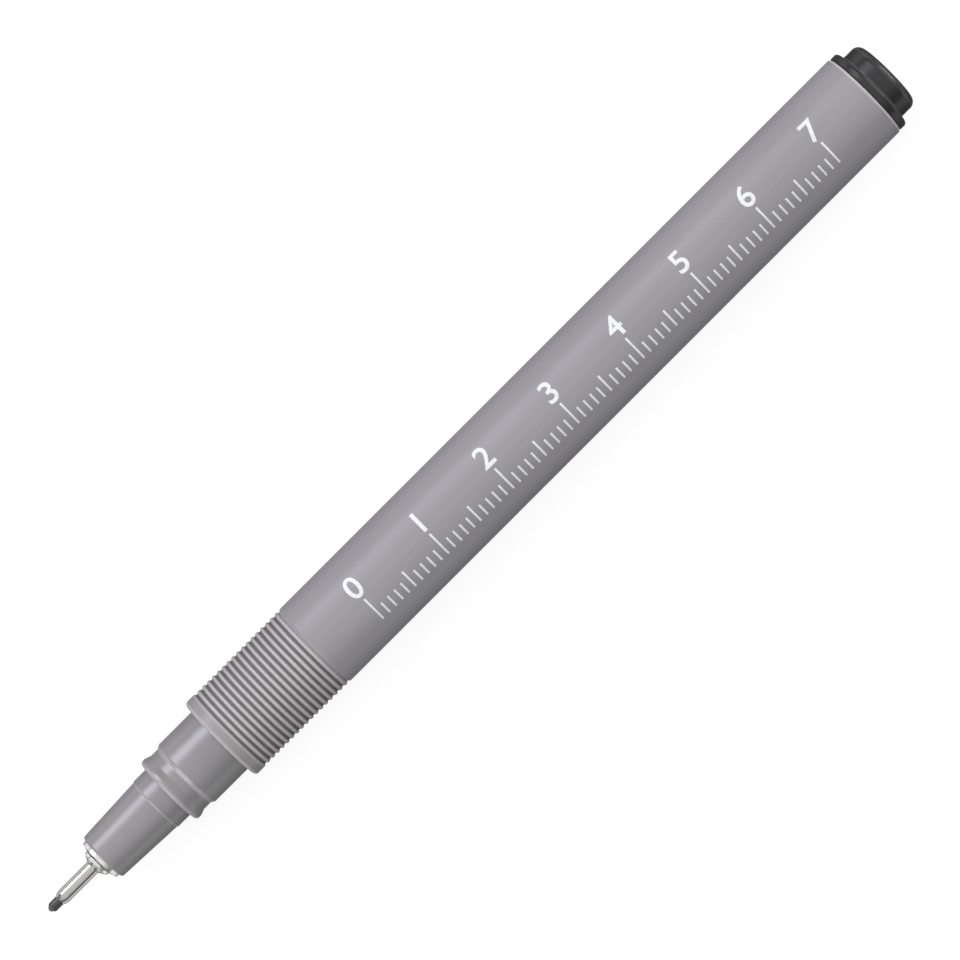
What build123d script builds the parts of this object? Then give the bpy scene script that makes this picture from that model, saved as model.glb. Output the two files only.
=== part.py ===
from build123d import *
import os

# Fineliner drawing pen without its cap, lying on its side along X with the nib towards -X.
# Sizes are in millimetres. A station is a distance along the pen's axis from the nib's point.

# Fits
slide_clearance = 0.03  # radial gap where two pieces are pulled apart by hand
seat_clearance = 0.02  # radial gap round a piece that stays pressed in
stop_gap = 0.05  # gap along the axis where one piece stops against another

# Nib: a stiff capillary rod with a blunt conical point
nib_diameter = 1.22
nib_exposed_length = 1.62
nib_point_diameter = 0.36
nib_point_length = 0.46
nib_point_round = 0.15
nib_shoulder_round = 0.3
nib_in_wick_length = 3.5

# Steel sleeve round the nib, rolled in at its front edge
sleeve_wall = 0.215
sleeve_exposed_length = 5.05
sleeve_crimp_length = 0.8
sleeve_lip_wall = 0.03

# Turned steel cone in two steps, with a skirt pressed into the nose
cone_slope_length = 0.49
small_ring_rise = 0.87  # above the sleeve
small_ring_width = 0.32
large_slope_length = 0.28
large_ring_width = 0.46
ring_taper = 0.06  # each ring widens by this much towards the rear
cone_bore_length = 3.2  # length of the sleeve's seat
skirt_length = 4.0
skirt_wall = 0.7

# Nose holder: tapered front, bead, neck and the cylinder that the cap grips
taper_length = 8.1
taper_rise = 0.36
nose_front_round = 0.3
front_rim_width = 0.4  # plastic left showing round the large steel ring
nose_front_wall = 0.85
land_step_length = 0.18
land_step_height = 0.09
land_length = 1.88
land_depth = 0.91  # below the nose's cylinder
bead_height = 0.27  # above the neck
bead_width = 0.69
bead_fall_length = 0.72
bead_round = 0.4
bead_fillet = 0.08
neck_depth = 0.28  # below the nose's cylinder
neck_length = 1.0
neck_fillet = 0.25
neck_rise_length = 0.5
cap_seat_length = 5.1
shoulder_height = 0.25  # stops the nose against the barrel's front face
stem_length = 11.5
stem_wall = 1.0
stem_chamfer = 0.3
wick_guide_length = 5.0

# Bush behind the steel cone, which centres the nib
bush_length = 4.5
bush_step = 0.4  # radial step from the skirt's seat to the bush's seat
bush_chamfer = 0.2

# Fibre wick from the nib to the reservoir
wick_diameter = 2.4
wick_in_reservoir_length = 8.0
wick_end_chamfer = 0.6
wick_clearance = 0.05

# Barrel: one moulding with a ring-ribbed grip near the front
barrel_diameter = 11.0
barrel_length = 99.56
barrel_wall = 0.95
barrel_front_round = 0.4
barrel_rim_chamfer = 0.18
collar_length = 1.34
groove_count = 18
groove_pitch = 0.744
groove_depth = 0.2
crest_width = 0.42
socket_wall = 1.34  # barrel wall round the nose's stem
socket_spare_length = 0.5  # room behind the stem
ledge_thickness = 1.2
ledge_diameter = 6.0

# Rails inside the barrel, which carry the reservoir and leave air channels between them
rail_count = 6
rail_height = 0.2
rail_width = 0.8
rail_root = 0.3  # how far a rail reaches into the wall that it grows from

# Ink reservoir: a fibre core in a film wrap
wrap_clearance = 0.05
wrap_thickness = 0.1
wick_hole_spare_length = 0.5

# End plug: hollow stem with two sealing beads, flange and the button that the cap is posted on
plug_stem_length = 8.0
plug_wall = 1.0
plug_end_wall = 1.3
plug_chamfer = 0.4
seal_bead_count = 2
seal_bead_pitch = 2.4
seal_bead_width = 1.0
seal_bead_height = 0.12
seal_bead_offset = 1.4  # from the barrel's rear rim to the first bead
flange_thickness = 0.98
flange_inset = 0.08  # below the barrel's surface
flange_round = 0.35
flange_chamfer = 0.1
button_length = 2.42
button_inset = 0.9  # below the flange's edge
button_round = 0.95
button_fillet = 0.1

# Stations along the axis, from the nib's point to the plug's end
sleeve_front = nib_exposed_length
cone_front = sleeve_front + sleeve_exposed_length
small_ring_front = cone_front + cone_slope_length
small_ring_rear = small_ring_front + small_ring_width
large_ring_front = small_ring_rear + large_slope_length
nose_front = large_ring_front + large_ring_width
sleeve_rear = cone_front + cone_bore_length
skirt_rear = nose_front + skirt_length
bush_front = skirt_rear + stop_gap
bush_rear = bush_front + bush_length
bush_seat_rear = bush_rear + stop_gap
wick_front = bush_seat_rear
nib_rear = wick_front + nib_in_wick_length
cavity_front = bush_seat_rear + wick_guide_length
taper_rear = nose_front + taper_length
land_front = taper_rear + land_step_length
bead_front = land_front + land_length
bead_rear = bead_front + bead_width
neck_front = bead_rear + bead_fall_length
neck_rear = neck_front + neck_length
cap_seat_front = neck_rear + neck_rise_length
barrel_front = cap_seat_front + cap_seat_length
grip_front = barrel_front + collar_length
grip_rear = grip_front + groove_count * groove_pitch
shoulder = barrel_front - stop_gap
stem_rear = barrel_front + stem_length
ledge_front = stem_rear + socket_spare_length
ledge_rear = ledge_front + ledge_thickness
reservoir_front = ledge_rear + stop_gap
wick_rear = reservoir_front + wick_in_reservoir_length
barrel_rear = barrel_front + barrel_length
plug_front = barrel_rear - plug_stem_length
reservoir_rear = plug_front - stop_gap
flange_front = barrel_rear + stop_gap
flange_rear = flange_front + flange_thickness
button_rear = flange_rear + button_length

# Radii
barrel_radius = barrel_diameter / 2
bore_radius = barrel_radius - barrel_wall
socket_radius = barrel_radius - socket_wall
ledge_radius = ledge_diameter / 2
stem_radius = socket_radius - slide_clearance
cavity_radius = stem_radius - stem_wall
nose_radius = stem_radius + shoulder_height
neck_radius = nose_radius - neck_depth
bead_radius = neck_radius + bead_height
land_radius = nose_radius - land_depth
taper_rear_radius = land_radius - land_step_height
nose_front_radius = taper_rear_radius - taper_rise
skirt_seat_radius = nose_front_radius - nose_front_wall
skirt_radius = skirt_seat_radius - seat_clearance
skirt_bore_radius = skirt_radius - skirt_wall
large_ring_radius = nose_front_radius - front_rim_width
bush_seat_radius = skirt_seat_radius - bush_step
bush_radius = bush_seat_radius - seat_clearance
nib_radius = nib_diameter / 2
nib_point_radius = nib_point_diameter / 2
nib_seat_radius = nib_radius + seat_clearance
sleeve_radius = nib_seat_radius + sleeve_wall
sleeve_lip_radius = nib_seat_radius + sleeve_lip_wall
sleeve_seat_radius = sleeve_radius + seat_clearance
small_ring_radius = sleeve_radius + small_ring_rise
wick_radius = wick_diameter / 2
wick_guide_radius = wick_radius + wick_clearance
rail_radius = bore_radius - rail_height
wrap_radius = rail_radius - wrap_clearance
wrap_bore_radius = wrap_radius - wrap_thickness
core_radius = wrap_bore_radius - seat_clearance
seal_bead_radius = bore_radius - slide_clearance
plug_stem_radius = seal_bead_radius - seal_bead_height
plug_bore_radius = plug_stem_radius - plug_wall
flange_radius = barrel_radius - flange_inset
button_radius = flange_radius - button_inset

# The origin lies under the middle of the pen's length, on the surface that the barrel rests on.
overall_length = button_rear
tip_x = -overall_length / 2
axis_height = barrel_radius
pen_axis = Axis((0, 0, axis_height), (1, 0, 0))

# Half sections are drawn on this plane, with the station across and the radius up.
section_plane = Plane(origin=(tip_x, 0, axis_height), x_dir=(1, 0, 0), z_dir=(0, -1, 0))

# Nib
with BuildPart() as nib:
    with BuildSketch(section_plane):
        with BuildLine():
            nib_outside = FilletPolyline(
                (0, 0),
                (0, nib_point_radius),
                (nib_point_length, nib_radius),
                (nib_rear, nib_radius),
                radius=(nib_point_round, nib_shoulder_round),
            )
            Polyline(nib_outside @ 1, (nib_rear, 0), nib_outside @ 0)
        make_face()
    revolve(axis=pen_axis)
nib.part.label = "nib"

# Sleeve: the rolled-in front edge is an arc that meets the straight tube without a corner
with BuildPart() as tip_sleeve:
    crimp_rear = sleeve_front + sleeve_crimp_length
    with BuildSketch(section_plane):
        with BuildLine():
            TangentArc((crimp_rear, sleeve_radius), (sleeve_front, sleeve_lip_radius), tangent=(-1, 0))
            Polyline(
                (sleeve_front, sleeve_lip_radius),
                (sleeve_front, nib_seat_radius),
                (sleeve_rear, nib_seat_radius),
                (sleeve_rear, sleeve_radius),
                (crimp_rear, sleeve_radius),
            )
        make_face()
    revolve(axis=pen_axis)
tip_sleeve.part.label = "tip_sleeve"

# Cone: two slopes and two rings in front of the nose, and a hollow skirt inside it
with BuildPart() as tip_cone:
    with BuildSketch(section_plane):
        with BuildLine():
            Polyline(
                (cone_front, sleeve_seat_radius),
                (small_ring_front, small_ring_radius - ring_taper),
                (small_ring_rear, small_ring_radius),
                (large_ring_front, large_ring_radius - ring_taper),
                (nose_front, large_ring_radius),
                (nose_front, skirt_radius),
                (skirt_rear, skirt_radius),
                (skirt_rear, skirt_bore_radius),
                (sleeve_rear, skirt_bore_radius),
                (sleeve_rear, sleeve_seat_radius),
                close=True,
            )
        make_face()
    revolve(axis=pen_axis)
tip_cone.part.label = "tip_cone"

# Bush
with BuildPart() as nib_bush:
    with BuildSketch(section_plane):
        with BuildLine():
            Polyline(
                (bush_front, nib_seat_radius),
                (bush_front, bush_radius),
                (bush_rear, bush_radius),
                (bush_rear, nib_seat_radius),
                close=True,
            )
        make_face()
    revolve(axis=pen_axis)
    bush_ends = nib_bush.edges().filter_by(GeomType.CIRCLE).group_by(SortBy.RADIUS)[-1]
    chamfer(bush_ends, min(bush_chamfer, (bush_radius - nib_seat_radius) / 2))
nib_bush.part.label = "nib_bush"

# Wick: the nib's rear end sits in its front, and its pointed rear end pierces the reservoir
with BuildPart() as feed_wick:
    with BuildSketch(section_plane):
        with BuildLine():
            Polyline(
                (wick_front, nib_seat_radius),
                (wick_front, wick_radius),
                (wick_rear - wick_end_chamfer, wick_radius),
                (wick_rear, wick_radius - wick_end_chamfer),
                (wick_rear, 0),
                (nib_rear + stop_gap, 0),
                (nib_rear + stop_gap, nib_seat_radius),
                close=True,
            )
        make_face()
    revolve(axis=pen_axis)
feed_wick.part.label = "feed_wick"

# Nose holder: the outside runs from the steel cone to the shoulder, then come the stem and the bores
with BuildPart() as nose_holder:
    with BuildSketch(section_plane):
        with BuildLine():
            nose_outside = FilletPolyline(
                (nose_front, skirt_seat_radius),
                (nose_front, nose_front_radius),
                (taper_rear, taper_rear_radius),
                (land_front, land_radius),
                (bead_front, land_radius),
                (bead_front, bead_radius),
                (bead_rear, bead_radius),
                (neck_front, neck_radius),
                (neck_rear, neck_radius),
                (cap_seat_front, nose_radius),
                (shoulder, nose_radius),
                radius=(
                    nose_front_round,
                    0,
                    0,
                    bead_fillet,
                    bead_round,
                    bead_fillet,
                    neck_fillet,
                    bead_fillet,
                    bead_fillet,
                ),
            )
            Polyline(
                nose_outside @ 1,
                (shoulder, stem_radius),
                (stem_rear, stem_radius),
                (stem_rear, cavity_radius),
                (cavity_front, cavity_radius),
                (cavity_front, wick_guide_radius),
                (bush_seat_rear, wick_guide_radius),
                (bush_seat_rear, bush_seat_radius),
                (bush_front, bush_seat_radius),
                (bush_front, skirt_seat_radius),
                nose_outside @ 0,
            )
        make_face()
    revolve(axis=pen_axis)
    stem_end = nose_holder.edges().filter_by(GeomType.CIRCLE).group_by(Axis.X)[-1]
    chamfer(stem_end.sort_by(SortBy.RADIUS)[-1], stem_chamfer)
nose_holder.part.label = "nose_holder"

# Barrel: each grip groove is one hollow arc between two half crests, all tangent to each other
groove_width = groove_pitch - crest_width
crest_drop = groove_depth * crest_width / groove_pitch
with BuildPart() as barrel:
    with BuildSketch(section_plane):
        with BuildLine():
            for groove in range(groove_count):
                front_apex = grip_front + groove * groove_pitch
                rear_apex = front_apex + groove_pitch
                hollow_front = front_apex + crest_width / 2
                hollow_rear = rear_apex - crest_width / 2
                hollow_middle = (front_apex + rear_apex) / 2
                flank_radius = barrel_radius - crest_drop
                TangentArc((front_apex, barrel_radius), (hollow_front, flank_radius), tangent=(1, 0))
                ThreePointArc(
                    (hollow_front, flank_radius),
                    (hollow_middle, barrel_radius - groove_depth),
                    (hollow_rear, flank_radius),
                )
                TangentArc((rear_apex, barrel_radius), (hollow_rear, flank_radius), tangent=(-1, 0))
            Polyline(
                (grip_rear, barrel_radius),
                (barrel_rear, barrel_radius),
                (barrel_rear, bore_radius),
                (ledge_rear, bore_radius),
                (ledge_rear, ledge_radius),
                (ledge_front, ledge_radius),
                (ledge_front, socket_radius),
                (barrel_front, socket_radius),
                (barrel_front, barrel_radius),
                (grip_front, barrel_radius),
            )
        make_face()
    revolve(axis=pen_axis)
    barrel_rings = barrel.edges().filter_by(GeomType.CIRCLE).group_by(Axis.X)
    fillet(barrel_rings[0].sort_by(SortBy.RADIUS)[-1], barrel_front_round)
    chamfer(barrel_rings[-1], barrel_rim_chamfer)
    rail_plane = Plane(origin=(tip_x + ledge_rear, 0, axis_height), z_dir=(1, 0, 0))
    with BuildSketch(rail_plane):
        with PolarLocations(rail_radius + (rail_height + rail_root) / 2, rail_count):
            Rectangle(rail_height + rail_root, rail_width)
    extrude(amount=reservoir_rear - ledge_rear)
barrel.part.label = "barrel"

# Reservoir wrap
with BuildPart() as reservoir_wrap:
    with BuildSketch(section_plane):
        with BuildLine():
            Polyline(
                (reservoir_front, wrap_bore_radius),
                (reservoir_front, wrap_radius),
                (reservoir_rear, wrap_radius),
                (reservoir_rear, wrap_bore_radius),
                close=True,
            )
        make_face()
    revolve(axis=pen_axis)
reservoir_wrap.part.label = "reservoir_wrap"

# Reservoir core: a blind hole in its front takes the wick
with BuildPart() as reservoir_core:
    wick_hole_rear = wick_rear + wick_hole_spare_length
    with BuildSketch(section_plane):
        with BuildLine():
            Polyline(
                (reservoir_front, wick_guide_radius),
                (reservoir_front, core_radius),
                (reservoir_rear, core_radius),
                (reservoir_rear, 0),
                (wick_hole_rear, 0),
                (wick_hole_rear, wick_guide_radius),
                close=True,
            )
        make_face()
    revolve(axis=pen_axis)
reservoir_core.part.label = "reservoir_core"

# End plug: the beads on its stem seal the barrel's bore
with BuildPart() as end_plug:
    with BuildSketch(section_plane):
        with BuildLine():
            plug_outside = FilletPolyline(
                (plug_front, plug_bore_radius),
                (plug_front, plug_stem_radius - plug_chamfer),
                (plug_front + plug_chamfer, plug_stem_radius),
                (flange_front, plug_stem_radius),
                (flange_front, flange_radius - flange_chamfer),
                (flange_front + flange_chamfer, flange_radius),
                (flange_rear, flange_radius),
                (flange_rear, button_radius),
                (button_rear, button_radius),
                (button_rear, 0),
                radius=(0, 0, 0, 0, 0, flange_round, button_fillet, button_round),
            )
            Polyline(
                plug_outside @ 1,
                (button_rear - plug_end_wall, 0),
                (button_rear - plug_end_wall, plug_bore_radius),
                plug_outside @ 0,
            )
        make_face()
        for bead in range(seal_bead_count):
            seal_rear = barrel_rear - seal_bead_offset - bead * seal_bead_pitch
            seal_middle = seal_rear - seal_bead_width / 2
            seal_front = seal_rear - seal_bead_width
            with BuildLine():
                ThreePointArc(
                    (seal_front, plug_stem_radius),
                    (seal_middle, seal_bead_radius),
                    (seal_rear, plug_stem_radius),
                )
                Polyline(
                    (seal_rear, plug_stem_radius),
                    (seal_rear, plug_stem_radius - seal_bead_height),
                    (seal_front, plug_stem_radius - seal_bead_height),
                    (seal_front, plug_stem_radius),
                )
            make_face()
    revolve(axis=pen_axis)
end_plug.part.label = "end_plug"

os.makedirs("parts", exist_ok=True)
export_step(barrel.part, "parts/barrel.step")
export_step(nose_holder.part, "parts/nose_holder.step")
export_step(tip_cone.part, "parts/tip_cone.step")
export_step(tip_sleeve.part, "parts/tip_sleeve.step")
export_step(nib.part, "parts/nib.step")
export_step(nib_bush.part, "parts/nib_bush.step")
export_step(feed_wick.part, "parts/feed_wick.step")
export_step(reservoir_core.part, "parts/reservoir_core.step")
export_step(reservoir_wrap.part, "parts/reservoir_wrap.step")
export_step(end_plug.part, "parts/end_plug.step")
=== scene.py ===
import math

import bmesh
import bpy
from mathutils import Matrix, Vector


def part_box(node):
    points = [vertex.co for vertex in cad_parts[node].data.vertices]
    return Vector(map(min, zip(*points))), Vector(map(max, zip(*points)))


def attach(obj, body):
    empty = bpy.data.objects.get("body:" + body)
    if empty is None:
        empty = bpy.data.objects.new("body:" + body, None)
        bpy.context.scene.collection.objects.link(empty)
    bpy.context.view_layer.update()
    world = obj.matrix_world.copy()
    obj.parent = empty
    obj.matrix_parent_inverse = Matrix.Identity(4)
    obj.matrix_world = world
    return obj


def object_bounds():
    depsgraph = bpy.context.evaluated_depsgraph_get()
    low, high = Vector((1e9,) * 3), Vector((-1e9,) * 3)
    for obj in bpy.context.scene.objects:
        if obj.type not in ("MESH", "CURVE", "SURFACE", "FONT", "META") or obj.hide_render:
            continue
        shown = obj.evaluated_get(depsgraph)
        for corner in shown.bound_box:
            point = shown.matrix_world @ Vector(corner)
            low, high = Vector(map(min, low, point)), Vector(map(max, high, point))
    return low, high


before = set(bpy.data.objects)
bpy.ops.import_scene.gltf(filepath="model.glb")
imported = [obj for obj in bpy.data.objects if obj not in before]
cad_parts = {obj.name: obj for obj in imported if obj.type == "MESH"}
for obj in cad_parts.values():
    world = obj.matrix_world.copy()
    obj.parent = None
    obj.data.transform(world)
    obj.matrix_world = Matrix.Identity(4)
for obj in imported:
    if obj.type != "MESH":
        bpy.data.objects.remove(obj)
cad_low, cad_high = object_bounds()

# Sizes are in metres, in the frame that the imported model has: X along the pen, nib at -X, Z up.
MM = 0.001
barrel_low, barrel_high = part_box("barrel")
nose_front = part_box("nose_holder")[0].x
plug_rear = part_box("end_plug")[1].x
axis_height = (barrel_low.z + barrel_high.z) / 2
barrel_radius = (barrel_high.z - barrel_low.z) / 2

# Ring-ribbed grip on the barrel
grip_front = barrel_low.x + 1.34 * MM
grip_rear = grip_front + 13.39 * MM
groove_pitch = 0.744 * MM
groove_depth = 0.2 * MM

# Painted highlights in bands along edges, where glints fall: start and end along the pen, and how much paler
# they are
edge_fade = 0.12 * MM
barrel_painted_glints = [
    (barrel_low.x - edge_fade, barrel_low.x + 0.4 * MM, 1.35),  # front of the collar
    (barrel_high.x - 0.28 * MM, barrel_high.x + edge_fade, 1.7),  # rear rim
    # behind the last rib: painted light that lifts the shade of the last groove
    (grip_rear - 0.8 * groove_pitch, grip_rear - 0.2 * groove_pitch, 1.2),  # behind the last rib
]
nose_painted_glints = [
    (nose_front + 8.02 * MM, nose_front + 8.26 * MM, 1.25),  # rear end of the taper
    (nose_front + 10.12 * MM, nose_front + 10.6 * MM, 1.45),  # front of the bead
    (nose_front + 12.45 * MM, nose_front + 12.95 * MM, 1.35),  # front of the cap's seat
]
plug_painted_glints = [
    (plug_rear - 2.45 * MM, plug_rear - 2.2 * MM, 4.5),  # rear of the flange
    (plug_rear - 0.78 * MM, plug_rear - 0.55 * MM, 2.6),  # rounded end of the button
]

# Colours, as linear red, green and blue
barrel_grey = (0.297, 0.2885, 0.3)
nose_grey = (0.243, 0.2357, 0.2415)
plug_black = (0.017, 0.0168, 0.017)
bush_white = (0.74, 0.74, 0.70)
nib_black = (0.032, 0.032, 0.034)
wick_grey = (0.10, 0.10, 0.12)
reservoir_grey = (0.05, 0.05, 0.06)
film_white = (0.62, 0.62, 0.63)
ink_white = (0.80, 0.83, 0.84)
hand_warmth = (1.06, 1.02, 0.99)  # factors on the grip's red, green and blue

# Printed scale on the barrel
scale_zero = cad_low.x + 48.5 * MM
scale_length_mm = 70
scale_side = math.radians(-36)  # where the ticks start, round the axis from the top, towards +Y
tick_width = 0.24 * MM
tick_lengths = {10: 3.2 * MM, 5: 2.4 * MM, 1: 1.6 * MM}  # by the millimetres that they mark
number_height = 2.7 * MM
number_weight = 0.05 * MM  # added all round the strokes
number_gap = 0.5 * MM
digit_share = 0.73  # height of a digit as a share of the font's size
print_height = 0.008 * MM
print_sink = 0.03 * MM  # how far the print reaches into the barrel, so that no gap shows under it
print_strips = 18  # strips that the flat print is cut into
weld_distance = 0.0005 * MM

# Light
lamp_distance = 0.7
key_angle = math.radians(53.6)  # from overhead, towards +Y
end_angle = math.radians(72)  # from overhead, towards both ends of the pen


# Node helpers


def start_material(name):
    """A new node material, as (material, tree, principled shader)."""
    material = bpy.data.materials.new(name)
    material.use_nodes = True
    tree = material.node_tree
    return material, tree, tree.nodes["Principled BSDF"]


def add_node(tree, kind, settings=None, values=None):
    """A new node with its settings and the values of its unlinked inputs."""
    node = tree.nodes.new(kind)
    for key, value in (settings or {}).items():
        setattr(node, key, value)
    for key, value in (values or {}).items():
        node.inputs[key].default_value = value
    return node


def set_input(tree, target, value):
    """Links a socket to an input, or sets the input to a number or a colour."""
    if isinstance(value, bpy.types.NodeSocket):
        tree.links.new(value, target)
    else:
        target.default_value = value


def finish_shader(tree, shader, colour, roughness, normal):
    """Gives a shader its colour, roughness and normal, each a socket or a value."""
    set_input(tree, shader.inputs["Base Color"], colour)
    set_input(tree, shader.inputs["Roughness"], roughness)
    set_input(tree, shader.inputs["Normal"], normal)


def math_node(tree, operation, first, second):
    """The result of a sum on two values, each a socket or a number."""
    node = add_node(tree, "ShaderNodeMath", {"operation": operation})
    set_input(tree, node.inputs[0], first)
    set_input(tree, node.inputs[1], second)
    return node.outputs["Value"]


def surface_point(tree):
    """The place of a surface point in the pen's frame, in metres. It moves with its piece."""
    return add_node(tree, "ShaderNodeTexCoord").outputs["Object"]


def noise(tree, feature, stretch=(1, 1, 1), detail=2.0):
    """Noise with features of about that size in metres, drawn out along an axis by its stretch."""
    squeeze = [1 / (feature * s) for s in stretch]
    mapping = add_node(tree, "ShaderNodeMapping", values={"Scale": squeeze})
    texture = add_node(tree, "ShaderNodeTexNoise", values={"Scale": 1.0, "Detail": detail})
    tree.links.new(surface_point(tree), mapping.inputs["Vector"])
    tree.links.new(mapping.outputs["Vector"], texture.inputs["Vector"])
    return texture.outputs["Fac"]


def spread(tree, source, low, high, from_low=0.3, from_high=0.7, smooth=False):
    """A value from low to high as the source goes over a range, by default the middle of a noise."""
    node = add_node(
        tree,
        "ShaderNodeMapRange",
        {"interpolation_type": "SMOOTHSTEP" if smooth else "LINEAR"},
        {"From Min": from_low, "From Max": from_high, "To Min": low, "To Max": high},
    )
    tree.links.new(source, node.inputs["Value"])
    return node.outputs["Result"]


def shade(tree, colour, amounts):
    """The colour, a socket or three numbers, times the product of the given values around 1."""
    product = amounts[0]
    for amount in amounts[1:]:
        product = math_node(tree, "MULTIPLY", product, amount)
    scale = add_node(tree, "ShaderNodeVectorMath", {"operation": "SCALE"})
    set_input(tree, scale.inputs[0], colour)
    tree.links.new(product, scale.inputs["Scale"])
    return scale.outputs["Vector"]


def bump(tree, height, distance, below=None):
    """A bump of that height in metres, on top of another bump where one is given."""
    node = add_node(tree, "ShaderNodeBump", values={"Distance": distance})
    tree.links.new(height, node.inputs["Height"])
    if below is not None:
        tree.links.new(below, node.inputs["Normal"])
    return node.outputs["Normal"]


def band(tree, low, high, soft):
    """1 between two places along the pen, and 0 beyond soft ends."""
    split = add_node(tree, "ShaderNodeSeparateXYZ")
    tree.links.new(surface_point(tree), split.inputs["Vector"])
    along = split.outputs["X"]
    rise = spread(tree, along, 0, 1, low - soft / 2, low + soft / 2)
    fall = spread(tree, along, 1, 0, high - soft / 2, high + soft / 2)
    return math_node(tree, "MULTIPLY", rise, fall)


def only_where(tree, where, amount):
    """The amount where the first value is 1, and 1 where it is 0."""
    change = math_node(tree, "MULTIPLY", where, math_node(tree, "SUBTRACT", amount, 1.0))
    return math_node(tree, "ADD", change, 1.0)


def tint(tree, colour, where, amount):
    """The colour times the amount, a factor for each of red, green and blue, where the value is 1."""
    change = [factor - 1 for factor in amount]
    factors = add_node(
        tree,
        "ShaderNodeVectorMath",
        {"operation": "MULTIPLY_ADD"},
        {1: change, 2: (1, 1, 1)},
    )
    tinted = add_node(tree, "ShaderNodeVectorMath", {"operation": "MULTIPLY"})
    tree.links.new(where, factors.inputs[0])
    tree.links.new(colour, tinted.inputs[0])
    tree.links.new(factors.outputs["Vector"], tinted.inputs[1])
    return tinted.outputs["Vector"]


def axis_distance(tree):
    """Distance of a surface point from the pen's axis, in metres."""
    centre = add_node(tree, "ShaderNodeVectorMath", {"operation": "SUBTRACT"}, {1: (0, 0, axis_height)})
    flat = add_node(tree, "ShaderNodeVectorMath", {"operation": "MULTIPLY"}, {1: (0, 1, 1)})
    length = add_node(tree, "ShaderNodeVectorMath", {"operation": "LENGTH"})
    tree.links.new(surface_point(tree), centre.inputs[0])
    tree.links.new(centre.outputs["Vector"], flat.inputs[0])
    tree.links.new(flat.outputs["Vector"], length.inputs[0])
    return length.outputs["Value"]


def dull_at_grazing(tree, roughness):
    """The roughness, raised towards 1 at grazing angles, where fine mould grain hides the shine."""
    weight = add_node(tree, "ShaderNodeLayerWeight", values={"Blend": 0.5})
    rise = spread(tree, weight.outputs["Facing"], 0, 1, from_low=0.1, from_high=0.6)
    return math_node(tree, "MAXIMUM", roughness, rise)


# Materials


def moulded_plastic(name, colour, roughness, specular, grain, grain_height, edges=(), painted_shading_and_tint=None):
    """Coloured plastic with cloudy tone, pigment flecks, flow streaks along the pen, mould grain and painted
    highlights along its edges.
    """
    material, tree, shader = start_material(name)
    shader.inputs["Specular IOR Level"].default_value = specular
    clouds = noise(tree, feature=9 * MM, stretch=(2, 1, 1))
    flecks = noise(tree, feature=0.25 * MM)
    streaks = noise(tree, feature=0.5 * MM, stretch=(12, 1, 1))
    peel = noise(tree, feature=1.6 * MM)
    amounts = [spread(tree, clouds, low=0.97, high=1.03), spread(tree, flecks, low=0.975, high=1.025)]
    # Painted highlights: bands along edges made paler where glints fall
    for low, high, paler in edges:
        amounts.append(only_where(tree, band(tree, low, high, soft=edge_fade), paler))
    tone = shade(tree, colour, amounts)
    # Painted highlight and shade, where the piece has them, plus any tint
    if painted_shading_and_tint is not None:
        tone = painted_shading_and_tint(tree, tone)
    gloss_change = 0.015
    satin = spread(tree, streaks, low=roughness - gloss_change, high=roughness + gloss_change)
    swell = bump(tree, peel, distance=0.002 * MM)
    relief = bump(tree, noise(tree, grain), grain_height, below=swell)
    finish_shader(tree, shader, tone, dull_at_grazing(tree, satin), relief)
    return material


def grip_wear(tree, tone):
    """Painted highlights on the ribs and painted shade in the grooves, and a warmer colour where the grip is
    held.
    """
    ribs = band(tree, grip_front, grip_rear - 0.75 * groove_pitch, soft=groove_pitch / 2)
    held = band(tree, barrel_low.x - groove_pitch, grip_rear - groove_pitch, soft=groove_pitch)
    # Painted shade deep in the grooves and painted highlight on the crests, by distance from the axis
    rib_light_and_shade = spread(
        tree,
        axis_distance(tree),
        low=0.55,
        high=1.6,
        from_low=barrel_radius - 0.8 * groove_depth,
        from_high=barrel_radius,
        smooth=True,
    )
    rib_shaded_tone = shade(tree, tone, [only_where(tree, ribs, rib_light_and_shade)])
    return tint(tree, rib_shaded_tone, held, hand_warmth)


def turned_steel(name, tone, edge_tone, roughness, line_spacing):
    """Bright steel with fine tool marks round the axis.

    edge_tone is how much of its shine is left at grazing angles.
    """
    material, tree, shader = start_material(name)
    shader.inputs["Metallic"].default_value = 1.0
    shader.inputs["Specular Tint"].default_value = (edge_tone, edge_tone, edge_tone, 1)
    clouds = spread(tree, noise(tree, feature=0.6 * MM), low=0.95, high=1.04)
    marks = noise(tree, feature=line_spacing, stretch=(1, 60, 60))
    slightly_warm = (tone, 0.99 * tone, 0.98 * tone)
    colour = shade(tree, slightly_warm, [clouds])
    polish_change = 0.05
    polish = spread(tree, marks, low=roughness - polish_change, high=roughness + polish_change)
    finish_shader(tree, shader, colour, polish, bump(tree, marks, distance=0.002 * MM))
    return material


def inked_nib(name, colour):
    """Dark capillary plastic, wet with ink in patches."""
    material, tree, shader = start_material(name)
    shader.inputs["Specular IOR Level"].default_value = 0.62
    patches = spread(tree, noise(tree, feature=0.35 * MM), low=0.6, high=1.3)
    wetness = spread(tree, noise(tree, feature=0.2 * MM), low=0.3, high=0.5)
    pores = bump(tree, noise(tree, feature=0.08 * MM), distance=0.004 * MM)
    finish_shader(tree, shader, shade(tree, colour, [patches]), wetness, pores)
    return material


def fibre(name, colour, strand):
    """Bundled fibres that run along the pen."""
    material, tree, shader = start_material(name)
    shader.inputs["Sheen Weight"].default_value = 0.3
    strands = noise(tree, feature=strand, stretch=(40, 1, 1), detail=4.0)
    soak = spread(tree, noise(tree, feature=3 * MM), low=0.8, high=1.15)
    tone = shade(tree, colour, [soak, spread(tree, strands, low=0.6, high=1.3)])
    relief = bump(tree, strands, distance=0.03 * MM)
    finish_shader(tree, shader, tone, roughness=0.8, normal=relief)
    return material


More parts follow.
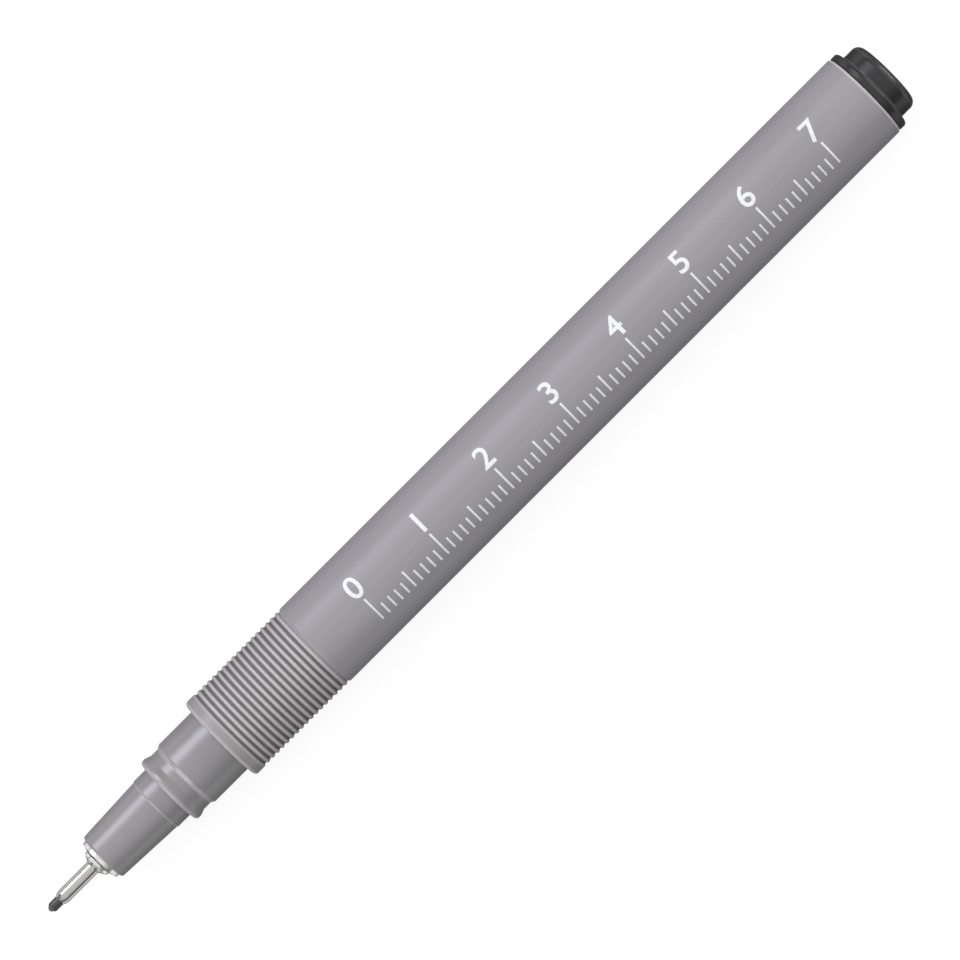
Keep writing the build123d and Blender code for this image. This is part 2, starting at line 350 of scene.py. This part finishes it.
def clear_film(name, colour):
    """Thin milky film with faint drawn lines."""
    material, tree, shader = start_material(name)
    lines = noise(tree, feature=0.3 * MM, stretch=(40, 1, 1))
    tone = shade(tree, colour, [spread(tree, lines, low=0.93, high=1.05)])
    gloss = spread(tree, lines, low=0.2, high=0.32)
    finish_shader(tree, shader, tone, gloss, bump(tree, lines, distance=0.004 * MM))
    return material


def printed_ink(name, colour):
    """White pad-printed ink, a little thin in places and slightly raised."""
    material, tree, shader = start_material(name)
    cover = spread(tree, noise(tree, feature=0.3 * MM, detail=4.0), low=0.86, high=1.03)
    gloss = spread(tree, noise(tree, feature=0.15 * MM), low=0.4, high=0.55)
    grain = bump(tree, noise(tree, feature=0.1 * MM), distance=0.003 * MM)
    finish_shader(tree, shader, shade(tree, colour, [cover]), gloss, grain)
    return material


def plastic_finishes():
    """The four plastic mouldings, each with its own gloss and grain."""
    return {
        "barrel": moulded_plastic(
            "barrel_plastic",
            barrel_grey,
            roughness=0.41,
            specular=0.34,
            grain=0.12 * MM,
            grain_height=0.004 * MM,
            edges=barrel_painted_glints,
            painted_shading_and_tint=grip_wear,
        ),
        "nose_holder": moulded_plastic(
            "nose_plastic",
            nose_grey,
            roughness=0.335,
            specular=0.8,
            grain=0.1 * MM,
            grain_height=0.0015 * MM,
            edges=nose_painted_glints,
        ),
        "end_plug": moulded_plastic(
            "plug_plastic",
            plug_black,
            roughness=0.31,
            specular=0.46,
            grain=0.12 * MM,
            grain_height=0.002 * MM,
            edges=plug_painted_glints,
        ),
        "nib_bush": moulded_plastic(
            "bush_plastic",
            bush_white,
            roughness=0.4,
            specular=0.5,
            grain=0.12 * MM,
            grain_height=0.002 * MM,
        ),
    }


def tip_finishes():
    """The steel cone, the more polished sleeve and the nib."""
    return {
        "tip_cone": turned_steel(
            "cone_steel",
            tone=0.78,
            edge_tone=0.05,
            roughness=0.28,
            line_spacing=0.03 * MM,
        ),
        "tip_sleeve": turned_steel(
            "sleeve_steel",
            tone=0.5,
            edge_tone=0.02,
            roughness=0.12,
            line_spacing=0.05 * MM,
        ),
        "nib": inked_nib("nib_plastic", nib_black),
    }


def ink_store_finishes():
    """What holds and carries the ink inside the pen."""
    return {
        "feed_wick": fibre("wick_fibre", wick_grey, strand=0.08 * MM),
        "reservoir_core": fibre("reservoir_fibre", reservoir_grey, strand=0.12 * MM),
        "reservoir_wrap": clear_film("wrap_film", film_white),
    }


def finish_nodes():
    """Gives every carried-over solid its finish."""
    finishes = plastic_finishes() | tip_finishes() | ink_store_finishes()
    for node_name, material in finishes.items():
        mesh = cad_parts[node_name].data
        mesh.materials.clear()
        mesh.materials.append(material)


# Printed scale


def wrap_on_barrel(bm):
    """Bends flat print onto the barrel.

    X stays, Y becomes the arc from the top, and Z the height above the surface.
    """
    for vert in bm.verts:
        angle = vert.co.y / barrel_radius
        radius = barrel_radius + vert.co.z
        vert.co.y = radius * math.sin(angle)
        vert.co.z = axis_height + radius * math.cos(angle)


def cut_across(bm, low, high, count):
    """Cuts flat print into strips across the pen, so that it bends smoothly."""
    for step in range(1, count):
        place = low + (high - low) * step / count
        everything = bm.verts[:] + bm.edges[:] + bm.faces[:]
        bmesh.ops.bisect_plane(bm, geom=everything, plane_co=(0, place, 0), plane_no=(0, 1, 0))


def add_tick(bm, x, start, length):
    """One flat tick, as thick as the print."""
    size = (tick_width, length, print_height + print_sink)
    centre = (x, start + length / 2, (print_height - print_sink) / 2)
    place = Matrix.Translation(centre) @ Matrix.Diagonal((*size, 1))
    bmesh.ops.create_cube(bm, size=1, matrix=place)


def add_number(bm, number, x, start):
    """One flat number, centred on x, that stands on the start line."""
    text = bpy.data.curves.new("scale_number", "FONT")
    text.body = str(number)
    text.align_x = "CENTER"
    text.size = number_height / digit_share
    text.offset = number_weight
    text.extrude = (print_height + print_sink) / 2
    holder = bpy.data.objects.new("scale_number", text)
    bpy.context.scene.collection.objects.link(holder)
    bpy.context.view_layer.update()
    flat = bpy.data.meshes.new_from_object(holder.evaluated_get(bpy.context.evaluated_depsgraph_get()))
    flat.transform(Matrix.Translation((x, start, (print_height - print_sink) / 2)))
    bm.from_mesh(flat)
    bpy.data.meshes.remove(flat)
    bpy.data.objects.remove(holder)
    bpy.data.curves.remove(text)


def make_scale():
    """A plain millimetre scale along the barrel, with its centimetres numbered."""
    bm = bmesh.new()
    start = scale_side * barrel_radius
    for mark in range(scale_length_mm + 1):
        step = next(size for size in tick_lengths if mark % size == 0)
        add_tick(bm, scale_zero + mark * MM, start, tick_lengths[step])
    number_line = start + tick_lengths[10] + number_gap
    for centimetre in range(scale_length_mm // 10 + 1):
        add_number(bm, centimetre, scale_zero + centimetre * 10 * MM, number_line)
    bmesh.ops.remove_doubles(bm, verts=bm.verts, dist=weld_distance)
    cut_across(bm, start, number_line + number_height, print_strips)
    wrap_on_barrel(bm)
    bmesh.ops.recalc_face_normals(bm, faces=bm.faces)
    mesh = bpy.data.meshes.new("scale_print")
    bm.to_mesh(mesh)
    bm.free()
    mesh.materials.append(printed_ink("print_ink", ink_white))
    piece = bpy.data.objects.new("scale_print", mesh)
    bpy.context.scene.collection.objects.link(piece)
    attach(piece, "barrel_unit")


# Stage: floor, light and camera


def start_stage_material(name):
    """A new node material without a shader, as (material, tree, surface input)."""
    material = bpy.data.materials.new(name)
    material.use_nodes = True
    tree = material.node_tree
    tree.nodes.clear()
    output = add_node(tree, "ShaderNodeOutputMaterial")
    return material, tree, output.inputs["Surface"]


def white_for_view(tree):
    """1 for what the camera sees directly, or in metal or glass, and 0 for light that bounces."""
    path = add_node(tree, "ShaderNodeLightPath")
    seen = math_node(tree, "MAXIMUM", path.outputs["Is Camera Ray"], path.outputs["Is Glossy Ray"])
    return math_node(tree, "MAXIMUM", seen, path.outputs["Is Transmission Ray"])


def floor_material(paper_tone, lift_strength):
    """Pale floor that takes the pen's shadow and shows as white where the light reaches it."""
    material, tree, surface = start_stage_material("floor_paper")
    paper = add_node(tree, "ShaderNodeBsdfDiffuse", values={"Color": (paper_tone, paper_tone, paper_tone, 1)})
    lift = add_node(tree, "ShaderNodeEmission", values={"Strength": lift_strength})
    both = add_node(tree, "ShaderNodeAddShader")
    mix = add_node(tree, "ShaderNodeMixShader")
    tree.links.new(paper.outputs["BSDF"], both.inputs[0])
    tree.links.new(lift.outputs["Emission"], both.inputs[1])
    tree.links.new(white_for_view(tree), mix.inputs["Fac"])
    tree.links.new(paper.outputs["BSDF"], mix.inputs[1])
    tree.links.new(both.outputs["Shader"], mix.inputs[2])
    tree.links.new(mix.outputs["Shader"], surface)
    return material


def backdrop_material():
    """Plain white for the view, with no light of its own on the pen's matt surfaces."""
    material, tree, surface = start_stage_material("backdrop_white")
    glow = add_node(tree, "ShaderNodeEmission")
    tree.links.new(white_for_view(tree), glow.inputs["Strength"])
    tree.links.new(glow.outputs["Emission"], surface)
    return material


def make_floor(radius, wall_height, sides):
    """A round floor whose far rim turns up into a low backdrop, so that low views end in white too."""
    turn = 2 * math.pi / sides
    rim = [(radius * math.cos(side * turn), radius * math.sin(side * turn)) for side in range(sides)]
    points = [(x, y, height) for height in (0, wall_height) for x, y in rim]
    walls = [(side, side + sides, (side + 1) % sides + sides, (side + 1) % sides) for side in range(sides)]
    mesh = bpy.data.meshes.new("floor")
    mesh.from_pydata(points, [], [tuple(range(sides)), *walls])
    mesh.materials.append(floor_material(paper_tone=0.25, lift_strength=0.82))
    mesh.materials.append(backdrop_material())
    for wall in mesh.polygons[1:]:
        wall.material_index = 1
    floor = bpy.data.objects.new("floor", mesh)
    bpy.context.scene.collection.objects.link(floor)


def soft_box(name, target, direction, size, power, colour=(1, 1, 1)):
    """A rectangular lamp that faces the target from that direction; size is its width, then its height."""
    data = bpy.data.lights.new(name, "AREA")
    data.shape = "RECTANGLE"
    data.size, data.size_y = size
    data.energy = power
    data.color = colour
    lamp = bpy.data.objects.new(name, data)
    bpy.context.scene.collection.objects.link(lamp)
    back = Vector(direction).normalized()
    turn = back.to_track_quat("Z", "Y").to_matrix().to_4x4()
    lamp.matrix_world = Matrix.Translation(Vector(target) + back * lamp_distance) @ turn
    lamp.visible_camera = False


def make_lamps():
    """A cool key on the +Y side, centred off the nib's end, and a low strip beyond each end of the pen."""
    soft_box(
        "key",
        target=(-0.08, 0, axis_height),
        direction=(0, math.sin(key_angle), math.cos(key_angle)),
        size=(0.36, 0.32),
        power=2.5,
        colour=(0.91, 0.9, 1),
    )
    for end in (-1, 1):
        soft_box(
            "end_light",
            target=(0, 0, axis_height),
            direction=(end * math.sin(end_angle), 0, math.cos(end_angle)),
            size=(0.5, 0.12),
            power=1.88,
        )


def make_world(horizon, overhead):
    """Soft dome whose strength rises from the horizon to overhead."""
    world = bpy.data.worlds.new("studio")
    world.use_nodes = True
    tree = world.node_tree
    place = add_node(tree, "ShaderNodeTexCoord")
    split = add_node(tree, "ShaderNodeSeparateXYZ")
    tree.links.new(place.outputs["Generated"], split.inputs["Vector"])
    strength = spread(tree, split.outputs["Z"], horizon, overhead, from_low=0.25, from_high=1.0, smooth=True)
    tree.links.new(strength, tree.nodes["Background"].inputs["Strength"])
    tree.nodes["Background"].inputs["Color"].default_value = (1, 1, 1, 1)
    bpy.context.scene.world = world


def make_camera(target, distance, view_width, roll):
    """Looks straight down on the target; view_width is what the square frame takes in at the target."""
    data = bpy.data.cameras.new("camera")
    data.lens = data.sensor_width * distance / view_width
    data.clip_end = 100 * distance
    camera = bpy.data.objects.new("camera", data)
    bpy.context.scene.collection.objects.link(camera)
    camera.location = Vector(target) + Vector((0, 0, distance))
    camera.rotation_euler = (0, 0, roll)
    bpy.context.scene.camera = camera


finish_nodes()
make_scale()
make_floor(radius=2.5, wall_height=0.3, sides=64)
make_world(horizon=0.1, overhead=1.01)
make_lamps()
make_camera(
    target=(1.8 * MM, 0, axis_height),
    distance=650 * MM,
    view_width=104.87 * MM,
    roll=math.radians(-45),
)
bpy.context.scene.view_settings.view_transform = "Standard"
